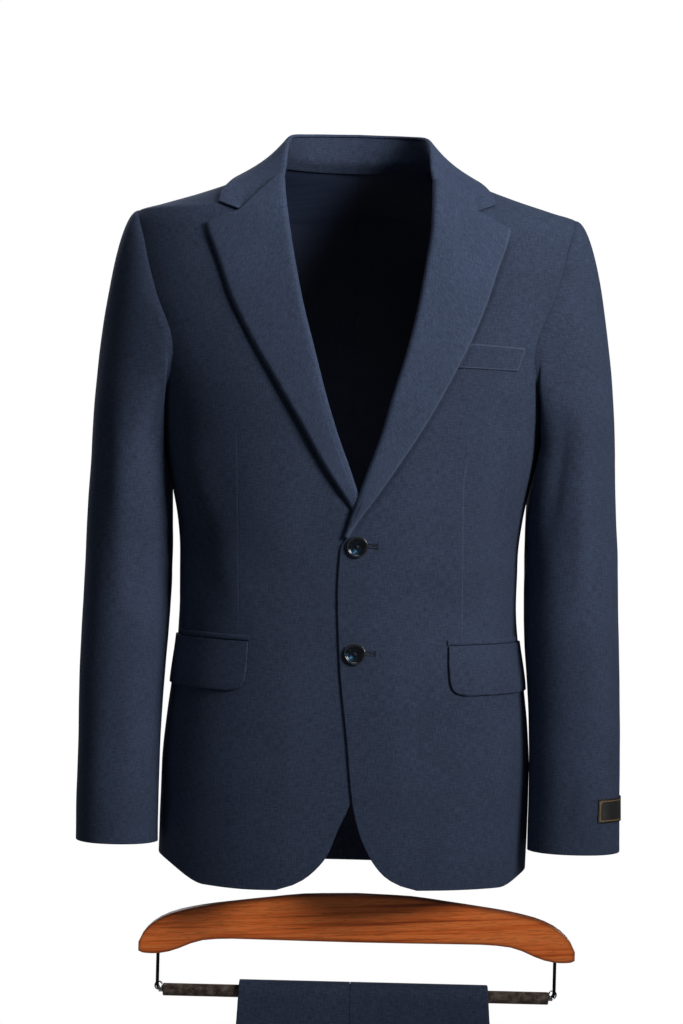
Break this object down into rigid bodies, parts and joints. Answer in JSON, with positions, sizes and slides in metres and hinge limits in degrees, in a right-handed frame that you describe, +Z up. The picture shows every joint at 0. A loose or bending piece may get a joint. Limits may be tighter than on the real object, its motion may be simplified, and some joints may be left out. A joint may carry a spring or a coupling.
{
  "type": "two-piece suit with trouser hanger",
  "caption": "Single-breasted suit jacket in its worn, hollow form, with its trousers folded over the bar of a curved wooden hanger held below it.",
  "frame": {"origin": "middle of the wearer's neck, level with the collar's top", "axes": "+Z up, -Y the jacket's front, +X the wearer's left"},
  "size_m": [0.5533, 0.2568, 1.4305],
  "materials": {
    "navy_wool": "matt fine worsted weave",
    "horn": "polished, marbled",
    "woven_label": "dense satin weave",
    "varnished_wood": "semi-gloss varnish",
    "chrome": "polished",
    "flock": "short matt flock"
  },
  "bodies": {
    "root": {"back_left": "navy_wool", "back_right": "navy_wool", "breast_welt": "navy_wool", "button_lower": "horn", "button_upper": "horn", "collar_fall": "navy_wool", "collar_stand": "navy_wool", "flap_left": "navy_wool", "flap_right": "navy_wool", "front_left": "navy_wool", "front_right": "navy_wool", "hanger_wire_left": "chrome", "hanger_wire_right": "chrome", "hanger_wood": "varnished_wood", "jetting_left": "navy_wool", "jetting_right": "navy_wool", "lapel_left": "navy_wool", "lapel_right": "navy_wool", "leg_back_panel": "navy_wool", "leg_front_panel": "navy_wool", "leg_hidden_layers": "navy_wool", "side_left": "navy_wool", "side_right": "navy_wool", "sleeve_label": "woven_label", "top_sleeve_left": "navy_wool", "top_sleeve_right": "navy_wool", "trouser_bar": "flock", "under_sleeve_left": "navy_wool", "under_sleeve_right": "navy_wool", "waistband": "navy_wool"}
  },
  "joints": []
}
